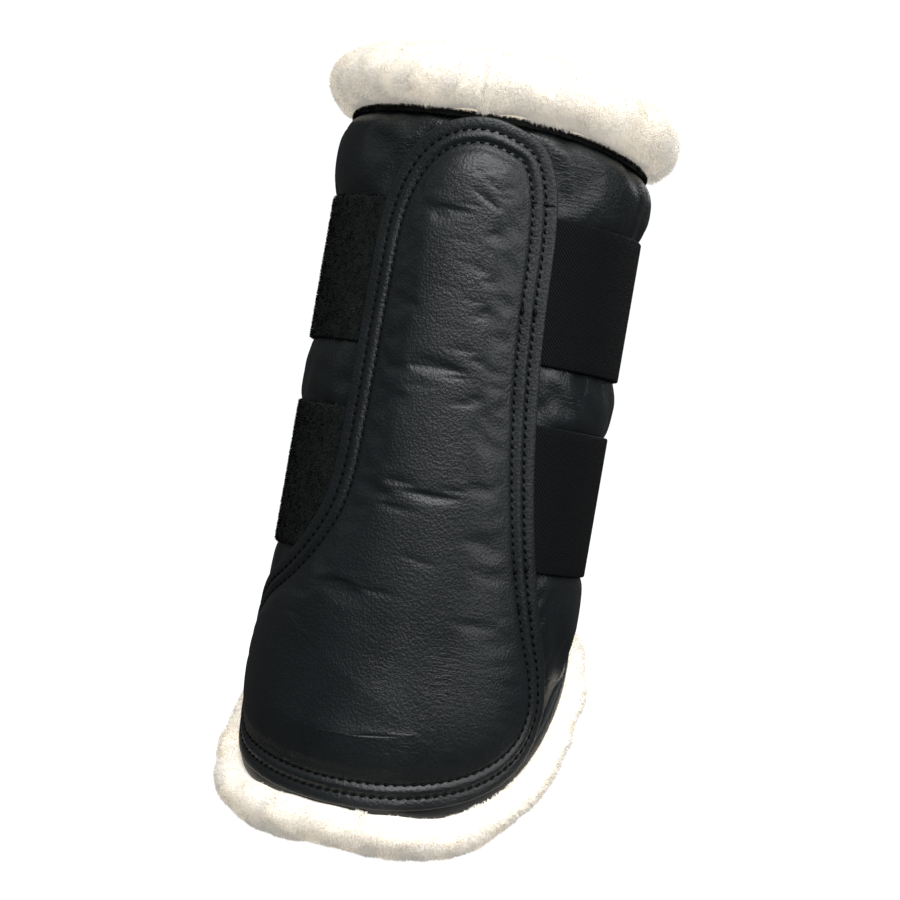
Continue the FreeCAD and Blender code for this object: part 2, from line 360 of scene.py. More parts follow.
MAKERS = {
    "shell_leather": lambda: leather("shell_leather", 0.00018, 0.6, 0.38, (),
                                     SHELL_PUCKERS),
    "pad_leather": lambda: leather("pad_leather", 0.00018, 0.45, 0.43, PAD_CRACKLES,
                                   PAD_PUCKERS),
    "hem_leather": lambda: leather("hem_leather", 0.00012, 0.1, 0.44, (), PAD_PUCKERS),
    "tab_leather": lambda: leather("tab_leather", 0.0003, 0.4, 0.44, (), PAD_PUCKERS),
    "elastic_webbing": elastic_webbing,
    # The fleece's emission is painted light: it glows with its own colour though it is no lamp.
    "fleece": lambda: pile_material("fleece", colours().fleece_root_shade, colours().fleece_tip,
                                    {"Sheen_Weight": 0.2, "Specular_IOR_Level": 0.1,
                                     "Emission_Strength": 0.33}),
    # The loop tape and trim are darker towards their roots: painted shade in the pile's depth.
    "loop_tape": lambda: pile_material("loop_tape", (0.002, 0.002, 0.002), colours().loops,
                                       {"Sheen_Weight": 0.01, "Specular_IOR_Level": 0.08}),
    "edge_trim": lambda: pile_material("edge_trim", (0.002, 0.002, 0.002), colours().loops,
                                       {"Sheen_Weight": 0.01, "Specular_IOR_Level": 0.08}),
    "hook_tape": lambda: brushed_textile("hook_tape", (0.008, 0.008, 0.009)),
    "thread": thread_material,
    "backdrop_paper": paper_material,
}


FINISHES = {}


def finish_of(name):
    """The finish of that name, made when it is first asked for."""
    if name not in FINISHES:
        FINISHES[name] = MAKERS[name]()
    return FINISHES[name]


# ---- the boot's form

def smooth(value, start=0.0, end=1.0):
    share = np.clip((value - start) / (end - start), 0.0, 1.0)
    return share * share * (3.0 - 2.0 * share)


def mix(first, second, share):
    return first + (second - first) * share


def on_leg(turn, radius, height):
    """A point round the leg: turn in degrees from the pad's middle, radius and height."""
    angle = math.radians(turn)
    return Vector((radius * math.sin(angle), -radius * math.cos(angle), height))


def radius_of(point):
    """How far a point is from the leg axis."""
    return math.hypot(point.x, point.y)


def outward_at(point):
    """Straight out from the leg axis at a point."""
    return Vector((point.x, point.y, 0.0)).normalized()


def points_of(verts):
    return np.array([vert.co for vert in verts])


def turn_at(point, middle=0.0):
    """The turn of a point, within half a circle of a middle turn."""
    turn = math.degrees(math.atan2(point[0], -point[1]))
    return middle + (turn - middle + 180.0) % 360.0 - 180.0


# The lower edge is level near its lobe, and has risen fully this far round from it.
LOBE_HALF_TURN = 22.0
RISE_TURN = 118.0
RISE_POWER = 1.35


def hem_height(turn):
    """Height of the shell's lower edge at a turn."""
    away = abs((turn - sizes().lobe_turn + 180.0) % 360.0 - 180.0)
    share = max(0.0, min(1.0, (away - LOBE_HALF_TURN) / RISE_TURN)) ** RISE_POWER
    return HEM_LOW + HEM_RISE * float(smooth(share))


def band_heights(node):
    return box_face(node, 0, 2), box_face(node, 1, 2)


# Lowest and highest points of the strap or tape that crosses each side.
BAND_SPANS = {
    (level, side): band_heights(f"{level}_{kind}")
    for level in LEVELS for side, kind in (("right", "elastic_side"), ("left", "loop_side"))}


# The upper edge dips between the first two turns, and evens out between the last two.
DIP_TURNS = (22.0, 108.0)
EVEN_TURNS = (120.0, 178.0)


def top_drop(turn):
    """How far the upper edge dips towards the sides."""
    share = float(smooth(abs(turn), *DIP_TURNS))
    deep = sizes().right_dip if turn > 0.0 else sizes().left_dip
    rear = float(smooth(abs(turn), *EVEN_TURNS))
    return mix(deep * share, (sizes().right_dip + sizes().left_dip) / 2.0, rear)


# The strike pad's outline, as turn and height, clockwise from its top.
PAD_OUTLINE = (
    (9.0, 252.6), (22.0, 250.6), (32.0, 245.5), (38.6, 233.0), (41.4, 215.0), (42.6, 190.0),
    (45.0, 163.0), (49.5, 134.0), (56.0, 107.0), (64.0, 85.0), (71.5, 69.0), (74.2, 54.0),
    (67.5, 38.5), (50.0, 26.0), (25.0, 18.2), (-4.0, 15.8), (-34.0, 18.0), (-60.0, 24.5),
    (-76.5, 38.0), (-82.0, 56.0), (-76.0, 73.5), (-60.0, 86.0), (-44.0, 95.5), (-32.5, 108.0),
    (-26.0, 124.0), (-24.8, 155.0), (-24.6, 190.0), (-23.4, 218.0), (-17.0, 236.5),
    (-6.0, 248.0),
)


def beside_pad(turn, height, side):
    """How far a place is clear of the strike pad: 0 below the pad and 1 well beside it."""
    edge = sorted((tall, abs(across)) for across, tall in PAD_OUTLINE
                  if across * SIGNS[side] > 0.0)
    reach = np.interp(height / MM, [item[0] for item in edge], [item[1] for item in edge])
    return float(smooth(abs(turn) - reach, -2.0, 10.0))


BAND_SINK = 0.7 * MM
# How far the shell swells below the lower band, between the bands and above the upper one.
FULLNESS = (1.9 * MM, 1.5 * MM, 2.6 * MM)


def shell_surface(turn, height, side):
    """Radius of the shell's outside: drawn in by the bands and full between them."""
    hem = hem_height(turn)
    stops = [hem] + [edge for level in ("lower", "upper") for edge in BAND_SPANS[level, side]]
    stops.append(SHELL_TOP - top_drop(turn))
    radius = SHELL_RADIUS - BAND_SINK
    for low, high, full in zip(stops[::2], stops[1::2], FULLNESS):
        if low < height < high:
            share = (height - low) / (high - low)
            swell = math.sin(math.pi * share) ** 0.6
            radius += full * swell * beside_pad(turn, height, side)
    return radius


# ---- mesh helpers

def finish_piece(bm, name, material, smooth_faces=True):
    """Turn a bmesh into an object at the origin with its material."""
    mesh = bpy.data.meshes.new(name)
    bm.to_mesh(mesh)
    bm.free()
    for face in mesh.polygons:
        face.use_smooth = smooth_faces
    piece = bpy.data.objects.new(name, mesh)
    bpy.context.scene.collection.objects.link(piece)
    mesh.materials.append(finish_of(material))
    return piece


def slab(across, along, place):
    """A closed slab from a grid. place gives a point for u and v from 0 to 1, and w 0 or 1."""
    bm = bmesh.new()
    bmesh.ops.create_grid(bm, x_segments=across, y_segments=along, size=0.5)
    grown = bmesh.ops.extrude_face_region(bm, geom=bm.faces[:], use_keep_orig=True)["geom"]
    raised = [item for item in grown if isinstance(item, bmesh.types.BMVert)]
    bmesh.ops.translate(bm, verts=raised, vec=(0, 0, 1))
    for vert in bm.verts:
        vert.co = place(vert.co.x + 0.5, vert.co.y + 0.5, vert.co.z)
    bmesh.ops.recalc_face_normals(bm, faces=bm.faces)
    return bm


def round_rim(bm, offset, segments=3):
    """Round the sharp rim of a slab."""
    rim = [edge for edge in bm.edges
           if len(edge.link_faces) == 2 and edge.calc_face_angle(0.0) > math.radians(55)]
    bmesh.ops.bevel(bm, geom=rim, offset=offset, offset_type="OFFSET", affect="EDGES",
                    segments=segments, profile=0.5, material=-1, clamp_overlap=True)
    bmesh.ops.recalc_face_normals(bm, faces=bm.faces)


def lay_flat(piece, middle):
    """Give the piece a UV map that holds its cloth coordinates in metres."""
    mesh = piece.data
    layer = mesh.uv_layers.new(name="cloth")
    for loop in mesh.loops:
        point = mesh.vertices[loop.vertex_index].co
        layer.data[loop.index].uv = (math.radians(turn_at(point, middle)) * SHELL_RADIUS, point.z)


def subdivide(piece, levels):
    modifier = piece.modifiers.new("subdivision", "SUBSURF")
    modifier.levels = levels
    modifier.render_levels = levels


PUFF_FRAMES = 20


def puff(piece, held, cap, growth):
    """Swell a closed piece as stuffed cloth that is sewn down at its held points."""
    mesh = piece.data
    start = points_of(mesh.vertices)
    group = piece.vertex_groups.new(name="held")
    group.add([int(index) for index in np.nonzero(held)[0]], 1.0, "REPLACE")
    cloth = piece.modifiers.new("cloth", "CLOTH")
    wanted = {"vertex_group_mass": "held", "quality": 5, "mass": 0.3, "use_pressure": True,
              "uniform_pressure_force": 4.0, "shrink_min": -growth, "bending_stiffness": 0.4}
    for key, value in wanted.items():
        setattr(cloth.settings, key, value)
    cloth.settings.effector_weights.gravity = 0.0
    cloth.collision_settings.use_collision = False
    cloth.point_cache.frame_end = PUFF_FRAMES
    scene = bpy.context.scene
    for number in range(1, PUFF_FRAMES + 1):
        scene.frame_set(number)
    grown = piece.evaluated_get(bpy.context.evaluated_depsgraph_get()).to_mesh()
    end = points_of(grown.vertices)
    piece.modifiers.remove(cloth)
    piece.vertex_groups.remove(group)
    scene.frame_set(1)
    move = end - start
    length = np.maximum(np.linalg.norm(move, axis=1), 1e-9)
    move *= (cap * np.tanh(length / cap) / length)[:, None]
    move[~np.isfinite(move)] = 0.0
    mesh.vertices.foreach_set("co", (start + move).ravel())
    mesh.update()


def stand_for(piece, side, *parts):
    """Hides its side's nodes of these parts, and the centre's nodes too for the right side."""
    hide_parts(*[f"{part}_{CAD_SIDES[side]}" for part in parts],
                *[f"{part}_centre" for part in parts if side == "right"])


def bend_at_fold(piece):
    """Bakes the piece's transform into its mesh."""
    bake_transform(piece)


def join_side(pieces):
    """Bakes each piece's transform into its mesh."""
    for piece in pieces:
        bend_at_fold(piece)


def grow_pile(base, name, count, long, width, clump, seed, keep, pull=0.0,
              stray=0.8, upright=0.5, droop=0.0):
    """A coat of fine tapered fibres on a piece, gathered into swirls with flat sides outwards."""
    mesh = base.data
    mesh.calc_loop_triangles()
    points = points_of(mesh.vertices)
    normals = np.array([vert.normal for vert in mesh.vertices])
    corners = np.array([triangle.vertices[:] for triangle in mesh.loop_triangles])
    middle = points[corners].mean(axis=1)
    outward = normals[corners].mean(axis=1)
    corners = corners[keep(middle, outward)]
    edge_a = points[corners[:, 1]] - points[corners[:, 0]]
    edge_b = points[corners[:, 2]] - points[corners[:, 0]]
    area = np.linalg.norm(np.cross(edge_a, edge_b), axis=1) / 2.0
    rng = np.random.default_rng(seed)
    chosen = corners[rng.choice(len(corners), count, p=area / area.sum())]
    share = rng.random((count, 2))
    flip = share.sum(axis=1) > 1.0
    share[flip] = 1.0 - share[flip]
    weights = np.column_stack([1.0 - share.sum(axis=1), share])[:, :, None]
    root = (points[chosen] * weights).sum(axis=1)
    normal = (normals[chosen] * weights).sum(axis=1)
    normal /= np.linalg.norm(normal, axis=1)[:, None]

    clumps = max(8, int(area.sum() / clump ** 2))
    tree = kdtree.KDTree(clumps)
    for number in range(clumps):
        tree.insert(root[number], number)
    tree.balance()
    nearest = np.array([tree.find(point)[1] for point in root])
    to_clump = root[nearest] - root
    near_share = np.exp(-(np.linalg.norm(to_clump, axis=1) / (0.55 * clump)) ** 2)[:, None]
    tall = long * (0.7 + 0.3 * near_share + 0.3 * rng.random((count, 1)))
    swirl = rng.normal(0.0, 1.0, (clumps, 3))[nearest] + rng.normal(0.0, stray, (count, 3))
    swirl -= normal * (swirl * normal).sum(axis=1)[:, None]
    swirl /= np.maximum(np.linalg.norm(swirl, axis=1), 1e-9)[:, None]
    lean = np.array((0.0, 0.0, -droop))
    reach = tall * (normal * upright + swirl * (1.0 - upright) + lean) + to_clump * pull
    side = np.cross(reach, normal) + rng.normal(0.0, 0.1, (count, 3)) * tall
    side *= width / 2.0 / np.maximum(np.linalg.norm(side, axis=1), 1e-9)[:, None]
    low = root - normal * 0.3 * MM
    waist = root + reach * 0.5 + normal * tall * 0.16
    fibre = np.stack([low - side, low + side, waist - side * 0.8, waist + side * 0.8,
                      root + reach], axis=1)
    first = np.arange(count)[:, None] * 5
    quads = first + np.array([0, 1, 3, 2])
    tips = first + np.array([2, 3, 4])
    coat = bpy.data.meshes.new(name)
    coat.from_pydata(fibre.reshape(-1, 3), [], quads.tolist() + tips.tolist())
    for face in coat.polygons:
        face.use_smooth = True
    # The pile depth runs from 0 at the roots to 1 at the tips, and is lower away from clump
    # middles: it drives painted shade in the pile's depth and between its clumps.
    depth = coat.attributes.new("pile", "FLOAT", "POINT")
    levels = np.tile(np.array([0.0, 0.0, 0.6, 0.6, 1.0]), (count, 1))
    depth.data.foreach_set("value", (levels * (0.72 + 0.28 * near_share)).ravel())
    soft = normal + 0.3 * (reach / tall - normal * upright)
    soft /= np.linalg.norm(soft, axis=1)[:, None]
    coat.normals_split_custom_set_from_vertices(np.repeat(soft, 5, axis=0).tolist())
    piece = bpy.data.objects.new(name, coat)
    bpy.context.scene.collection.objects.link(piece)
    coat.materials.append(base.data.materials[0])
    return piece


def paint_pile_shade(piece, value):
    """How deep in the pile the whole of a base lies, which darkens it with the pile's painted
    shade.
    """
    depth = piece.data.attributes.new("pile", "FLOAT", "POINT")
    depth.data.foreach_set("value", np.full(len(piece.data.vertices), value))


# ---- pieces

def span_turns(side, end=SEAM_TURN):
    """The turns that one half of the wrap covers, from the front seam to the rear one."""
    return sizes().front_turn, SIGNS[side] * end


# How far in from its edges the shell is sewn down.
SEWN = 3.0 * MM


def make_shell_half(side):
    """One half of the padded shell: a stuffed slab, drawn in below its bands."""
    start, end = span_turns(side)
    inner = LINING_RADIUS + 0.3 * MM

    def place(u, v, w):
        turn = mix(start, end, u)
        top = SHELL_TOP - top_drop(turn) - 0.4 * MM
        height = mix(hem_height(turn) + 0.5 * MM, top, v)
        rim = min(v, 1.0 - v) * (top - HEM_LOW)
        rounding = 2.2 * MM * (1.0 - float(smooth(rim, 0.0, 5.0 * MM)))
        outer = shell_surface(turn, height, side) - rounding
        return on_leg(turn, mix(inner, outer, w), height)

    bm = slab(56, 78, place)
    piece = finish_piece(bm, f"shell_{side}", "shell_leather")
    points = points_of(piece.data.vertices)
    radius = np.hypot(points[:, 0], points[:, 1])
    turns = np.degrees(np.arctan2(points[:, 0], -points[:, 1]))
    hems = np.array([hem_height(turn) for turn in turns])
    held = radius < SHELL_RADIUS - SEWN
    tops = np.array([SHELL_TOP - top_drop(turn) for turn in turns])
    held |= (points[:, 2] > tops - SEWN) | (points[:, 2] < hems + SEWN)
    for level in LEVELS:
        low, high = BAND_SPANS[level, side]
        held |= (points[:, 2] > low + 1.0 * MM) & (points[:, 2] < high - 1.0 * MM)
    held |= np.array([beside_pad(turn, height, side) < 0.2
                      for turn, height in zip(turns, points[:, 2])])
    held |= np.abs(np.abs(turns) - SEAM_TURN) < 3.0
    puff(piece, held, 1.6 * MM, 0.035)
    lay_flat(piece, (start + end) / 2.0)
    subdivide(piece, 1)
    join_side([piece])
    stand_for(piece, side, "cover", "foam")


def closed_curve(corners, count):
    """Points spaced evenly along a smooth closed curve through the corners."""
    corners = np.array(corners)
    before, after = np.roll(corners, 1, axis=0), np.roll(corners, -1, axis=0)
    beyond = np.roll(corners, -2, axis=0)
    share = np.linspace(0.0, 1.0, 24, endpoint=False)[None, :, None]
    a, b, c, d = (item[:, None, :] for item in (before, corners, after, beyond))
    curve = 0.5 * (2 * b + (c - a) * share + (2 * a - 5 * b + 4 * c - d) * share ** 2
                   + (3 * b - a - 3 * c + d) * share ** 3)
    curve = curve.reshape(-1, 2)
    closed = np.vstack([curve, curve[:1]])
    run = np.concatenate([[0.0], np.cumsum(np.linalg.norm(np.diff(closed, axis=0), axis=1))])
    stops = np.linspace(0.0, run[-1], count, endpoint=False)
    return np.column_stack([np.interp(stops, run, closed[:, axis]) for axis in (0, 1)])


def pad_outline(count, inset=0.0):
    """The pad's outline laid flat in metres, drawn in by an inset."""
    flat = [(math.radians(turn) * SHELL_RADIUS, height * MM) for turn, height in PAD_OUTLINE]
    outline = closed_curve(flat, count)
    along = np.roll(outline, -1, axis=0) - np.roll(outline, 1, axis=0)
    along /= np.linalg.norm(along, axis=1)[:, None]
    inward = np.column_stack([along[:, 1], -along[:, 0]])
    return outline + inward * inset


def pad_spine(rim):
    """For each point of a closed rim, the point of the middle line that it is drawn towards."""
    partner = np.roll(rim[::-1], 1, axis=0)
    heights = np.clip((rim[:, 1] + partner[:, 1]) / 2.0, 56.0 * MM, 224.0 * MM)
    turns = mix(-4.0, 9.0, smooth(heights, 55.0 * MM, 125.0 * MM))
    return np.column_stack([np.radians(turns) * SHELL_RADIUS, heights])


def on_pad(flat, rise):
    """A point of the laid-flat pad, bent round the leg at a height above the shell."""
    return on_leg(math.degrees(flat[0] / SHELL_RADIUS), SHELL_RADIUS + rise, flat[1])


def pad_rings(count):
    """Rings from the flange's underside over its edge and stitch rows to the top of the dome.

    Each is its laid-flat points and its height above the shell."""
    size = sizes()
    under, top = size.flange_under, size.flange_under + size.flange_thick
    rings = [(pad_outline(count, 6.0 * MM), under)]
    edge = ((0.5, under, 0.0), (0.0, under, 0.45), (0.0, top, -0.45), (0.5, top, 0.0))
    rings += [(pad_outline(count, inset * MM), base + extra * MM)
              for inset, base, extra in edge]
    row_depth = 0.7 * MM
    for inset, sink in ((size.outer_row - 1.0 * MM, 0.0), (size.outer_row, row_depth),
                        (size.outer_row + 1.0 * MM, -0.1 * MM),
                        ((size.outer_row + size.inner_row) / 2.0, -0.45 * MM),
                        (size.inner_row - 1.0 * MM, -0.1 * MM), (size.inner_row, row_depth),
                        (size.inner_row + 0.9 * MM, -0.35 * MM)):
        rings.append((pad_outline(count, inset), top - sink))
    foot = pad_outline(count, size.inner_row + 1.4 * MM)
    spine = pad_spine(foot)
    for share in (0.06, 0.13, 0.22, 0.34, 0.46):
        rise = size.dome_rise * (1.0 - (1.0 - share) ** 3.2)
        rings.append((mix(foot, spine, share), top + 0.3 * MM + rise))
    return rings


def close_ring(bm, edges, top):
    """Bridge the two long sides of a ring and bend the faces between them up to a radius."""
    ring = {vert for edge in edges for vert in edge.verts}
    head = max(ring, key=lambda vert: vert.co.z)
    foot = min(ring, key=lambda vert: vert.co.z)
    ends = [(turn_at(vert.co), vert.co.z) for vert in (foot, head)]
    rim_radius = radius_of(head.co)

    def on_right(vert):
        share = (vert.co.z - ends[0][1]) / (ends[1][1] - ends[0][1])
        return turn_at(vert.co) > mix(ends[0][0], ends[1][0], share)

    rails = [edge for edge in edges if head not in edge.verts and foot not in edge.verts]
    side_of = {vert: on_right(vert) for vert in ring}
    made = bmesh.ops.bridge_loops(bm, edges=rails)["edges"]
    rungs = [edge for edge in made if side_of[edge.verts[0]] != side_of[edge.verts[1]]]
    cut = bmesh.ops.subdivide_edges(bm, edges=rungs, cuts=11)["geom_inner"]
    inner = [item for item in cut if isinstance(item, bmesh.types.BMVert)]
    for vert in inner:
        sagged = (rim_radius - radius_of(vert.co)) / (0.6 * MM)
        rise = (top - rim_radius) * max(0.0, min(1.0, sagged))
        vert.co = on_leg(turn_at(vert.co), rim_radius + rise, vert.co.z)
    for _ in range(6):
        bmesh.ops.smooth_vert(bm, verts=inner, factor=0.5, use_axis_x=True, use_axis_y=True,
                              use_axis_z=True)


RIM_POINTS = 264


def make_strike_pad():
    """The strike pad: flange, two sunk stitch rows and a stuffed dome."""
    size = sizes()
    (first, low_rise), *rings = pad_rings(RIM_POINTS)
    bm = bmesh.new()
    verts = [bm.verts.new(on_pad(point, low_rise)) for point in first]
    edges = [bm.edges.new((a, b)) for a, b in zip(verts, verts[1:] + verts[:1])]
    for points, rise in rings:
        grown = bmesh.ops.extrude_edge_only(bm, edges=edges)["geom"]
        edges = [item for item in grown if isinstance(item, bmesh.types.BMEdge)]
        raised = {item for item in grown if isinstance(item, bmesh.types.BMVert)}
        partner = {vert: edge.other_vert(vert) for vert in verts for edge in vert.link_edges
                   if edge.other_vert(vert) in raised}
        verts = [partner[vert] for vert in verts]
        for vert, point in zip(verts, points):
            vert.co = on_pad(point, rise)
        edges = [edge for edge in edges if edge.verts[0] in raised and edge.verts[1] in raised]
    top = SHELL_RADIUS + size.flange_under + size.flange_thick + size.dome_rise
    close_ring(bm, edges, top)
    under = SHELL_RADIUS + size.flange_under
    low_rim = [edge for edge in bm.edges if edge.is_boundary
               and radius_of(edge.verts[0].co) < under + 0.1 * MM]
    close_ring(bm, low_rim, under)
    rim = [edge for edge in bm.edges if edge.is_boundary]
    bmesh.ops.holes_fill(bm, edges=rim, sides=0)
    bmesh.ops.recalc_face_normals(bm, faces=bm.faces)
    piece = finish_piece(bm, "strike_pad", "pad_leather")
    points = points_of(piece.data.vertices)
    rise = np.hypot(points[:, 0], points[:, 1]) - SHELL_RADIUS
    held = rise < size.flange_under + size.flange_thick + 1.3 * MM
    puff(piece, held, 0.5 * MM, 0.02)
    lay_flat(piece, 0.0)
    subdivide(piece, 2)
    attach(piece, "pad_panel")
    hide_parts("strike_pad_cover", "strike_pad_core", "strike_pad_base")


def stitch_shape():
    """The plump capsule that every stitch is a copy of, one unit in radius."""
    shape = bpy.data.meshes.get("stitch_shape")
    if shape is None:
        shape = bpy.data.meshes.new("stitch_shape")
        bm = bmesh.new()
        bmesh.ops.create_uvsphere(bm, u_segments=8, v_segments=6, radius=1.0,
                                  matrix=Matrix.Rotation(math.pi / 2, 4, "X"))
        bm.to_mesh(shape)
        bm.free()
    return shape


def add_stitch(bm, middle, along, length, radius):
    """One stitch: a plump capsule of thread that dips in at both ends."""
    outward = outward_at(middle)
    across = along.cross(outward).normalized()
    axes = Matrix((across, along, outward)).transposed().to_4x4()
    scale = Matrix.Diagonal((radius, length / 2.0, radius * 1.1, 1.0))
    shape = stitch_shape().copy()
    shape.transform(Matrix.Translation(middle) @ axes @ scale)
    bm.from_mesh(shape)
    bpy.data.meshes.remove(shape)


STITCH_SLANT = math.radians(14.0)
UPRIGHT = Vector((0, 0, 1))


def stitch_row(bm, points, rise):
    """Stitches at every point of a laid-flat row."""
    size = sizes()
    count = len(points)
    for number in range(count):
        here = on_pad(points[number], rise)
        along = on_pad(points[(number + 1) % count], rise) - on_pad(points[number - 1], rise)
        turned = Matrix.Rotation(STITCH_SLANT, 3, outward_at(here)) @ along.normalized()
        add_stitch(bm, here, turned, size.stitch_long, size.thread_radius)


def make_stitching():
    """Two rows of stitches round the pad, with the bar tack and the places where rows lock off."""
    size = sizes()
    bm = bmesh.new()
    rise = size.flange_under + size.flange_thick - 0.34 * MM
    for inset in (size.outer_row, size.inner_row):
        points = pad_outline(400, inset)
        run = np.linalg.norm(np.roll(points, -1, axis=0) - points, axis=1).sum()
        count = int(run / size.stitch_pitch)
        stitch_row(bm, closed_curve(points[::8], count), rise)
    for height, radius_factor in ((190.0, 1.7), (104.0, 1.6), (91.0, 1.5)):
        for inset in (size.outer_row, size.inner_row):
            points = pad_outline(400, inset)
            right = points[points[:, 0] > 0.0]
            nearest = right[np.argmin(abs(right[:, 1] - height * MM))]
            here = on_pad(nearest, rise + 0.2 * MM)
            add_stitch(bm, here, Vector((0.05, 0.0, 1.0)).normalized(),
                       size.stitch_long * 1.35, size.thread_radius * radius_factor)
    tack_height = 227.0 * MM
    flange = pad_outline(400)
    right = flange[(flange[:, 0] > 0.0) & (abs(flange[:, 1] - tack_height) < 2.0 * MM)]
    for number in range(4):
        flat = np.array([right[:, 0].mean() - (2.2 + 2.1 * number) * MM, tack_height])
        here = on_pad(flat, rise + 0.25 * MM)
        add_stitch(bm, here, outward_at(here).cross(UPRIGHT), 2.3 * MM,
                   size.thread_radius * (1.3 if number == 1 else 0.8))
    piece = finish_piece(bm, "pad_stitching", "thread")
    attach(piece, "pad_panel")


def make_band(name, turns, heights, radii, thick, material, segments, rim=0.7 * MM,
              drop=lambda turn: 0.0):
    """A flat band that follows the leg, with rounded edges."""
    start, end = turns
    low, high = heights

    def place(u, v, w):
        turn = mix(start, end, u)
        radius = radii(turn) + thick * (w - 1.0)
        return on_leg(turn, radius, mix(low, high, v) - drop(turn))

    bm = slab(segments, 14, place)
    round_rim(bm, rim)
    piece = finish_piece(bm, name, material)
    lay_flat(piece, (start + end) / 2.0)
    return piece


def strap_radius(turn):
    """Outside of a strap: close to the shell, then lifted over the loop tape past the seam."""
    lift = float(smooth(turn, 172.0, 188.0))
    return mix(BAND_RADIUS - 0.35 * MM, TAIL_RADIUS + sizes().elastic_thick, lift)


SPLICE_TURN = 134.0


def make_strap(level):
    """One elastic strap: its front length, its rear length, hook tape and pull tab."""
    low, high = BAND_SPANS[level, "right"]
    size = sizes()
    start = 30.0 if level == "upper" else 42.0
    front = make_band(f"{level}_elastic_front_length", (start, SPLICE_TURN), (low, high),
                      strap_radius, size.elastic_thick, "elastic_webbing", 60)
    bend_at_fold(front)
    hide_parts(f"{level}_elastic_front")
    end = turn_at(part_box(f"{level}_pull_tab")[0], 220.0) - 4.0
    rear = make_band(f"{level}_elastic_rear_length", (SPLICE_TURN, end), (low, high),
                     strap_radius, size.elastic_thick, "elastic_webbing", 56)
    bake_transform(rear)
    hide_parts(f"{level}_elastic_side", f"{level}_elastic_end")

    hook = make_band(f"{level}_hook_patch", (190.0, end - 1.0), (low + 1.5 * MM, high - 1.5 * MM),
                     lambda turn: TAIL_RADIUS - 0.05 * MM, 0.7 * MM, "hook_tape", 20, 0.2 * MM)
    inward = grow_pile(hook, f"{level}_hooks", 9000, 0.75 * MM, 0.28 * MM, 1.5 * MM, 71,
                       facing_leg, upright=0.95)
    for piece in (hook, inward):
        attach(piece, f"{level}_strap")
    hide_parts(f"{level}_hook_tape")

    tab_end = end + 12.0
    tab = make_band(f"{level}_tab", (end - 9.0, tab_end), (low - 0.8 * MM, high + 0.8 * MM),
                    lambda turn: TAIL_RADIUS + size.elastic_thick + 1.1 * MM,
                    size.elastic_thick + 2.0 * MM, "tab_leather", 12, 1.3 * MM)
    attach(tab, f"{level}_strap")
    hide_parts(f"{level}_pull_tab")
    make_tab_stitches(level, (end - 7.0, tab_end - 2.5), (low + 2.2 * MM, high - 2.2 * MM))


def make_tab_stitches(level, turns, heights):
    """A rectangle of stitches that holds the pull tab on the strap."""
    size = sizes()
    radius = TAIL_RADIUS + size.elastic_thick + 1.05 * MM
    bm = bmesh.new()
    wide = int(math.radians(turns[1] - turns[0]) * radius / size.stitch_pitch)
    tall = int((heights[1] - heights[0]) / size.stitch_pitch)
    places = [(end, (number + 0.5) / tall) for end in (0.0, 1.0) for number in range(tall)]
    places += [((number + 0.5) / wide, end) for end in (0.0, 1.0) for number in range(wide)]
    for u, v in places:
        here = on_leg(mix(*turns, u), radius, mix(*heights, v))
        along = UPRIGHT if u in (0.0, 1.0) else outward_at(here).cross(UPRIGHT)
        add_stitch(bm, here, along, size.stitch_long, size.thread_radius)
    piece = finish_piece(bm, f"{level}_tab_stitching", "thread")
    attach(piece, f"{level}_strap")


def facing_leg(middle, outward):
    """Picks the faces that look at the leg axis."""
    return (middle[:, 0] * outward[:, 0] + middle[:, 1] * outward[:, 1]) < 0.0


def facing_out(middle, outward):
    """Picks the faces that look away from the leg axis, and the rims."""
    return (middle[:, 0] * outward[:, 0] + middle[:, 1] * outward[:, 1]) > -0.004


def brush(base, name, count, tall, width, clump, seed):
    """A short brushed pile on the outside of a piece."""
    paint_pile_shade(base, 0.2)
    return grow_pile(base, name, count, tall, width, clump, seed, facing_out, pull=0.2,
                     stray=1.0, upright=0.7)


def make_loop_tape(level, seed):
    """One loop tape with its brushed pile and ragged edges."""
    low, high = BAND_SPANS[level, "left"]
    tape = make_band(f"{level}_loop_tape", (-14.0, -SEAM_TURN + 1.0), (low, high),
                     lambda turn: BAND_RADIUS - 0.9 * MM, 1.2 * MM, "loop_tape", 70, 0.3 * MM)
    pile = brush(tape, f"{level}_loop_pile", 50000, 1.1 * MM, 0.12 * MM, 1.6 * MM, seed)
    join_side((tape, pile))
    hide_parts(f"{level}_loop_front", f"{level}_loop_side")


def roll_section(bm, middle, wide, tall, count):
    """A rounded section in the plane through the leg axis and the front."""
    ring = bmesh.ops.create_circle(bm, segments=count, radius=1.0)["verts"]
    for vert in ring:
        across, up = vert.co.x, vert.co.y
        vert.co = Vector((0.0, -(middle[0] + across * wide), middle[1] + up * tall))
    return ring


def make_lumpy(bm, verts, depth, seed):
    """Soft unevenness: moves points along their normals by waves in random directions."""
    points = points_of(bm.verts)
    rng = np.random.default_rng(seed)
    lumps = np.zeros(len(points))
    for _ in range(14):
        direction = rng.normal(0.0, 1.0, 3)
        direction *= 2 * math.pi / (2.6 * sizes().clump) / np.linalg.norm(direction)
        direction *= rng.uniform(0.35, 1.1)
        lumps += np.sin(points @ direction + rng.uniform(0.0, 6.28)) / 6.0
    bm.verts.index_update()
    for vert in verts:
        vert.co += vert.normal * float(lumps[vert.index]) * depth


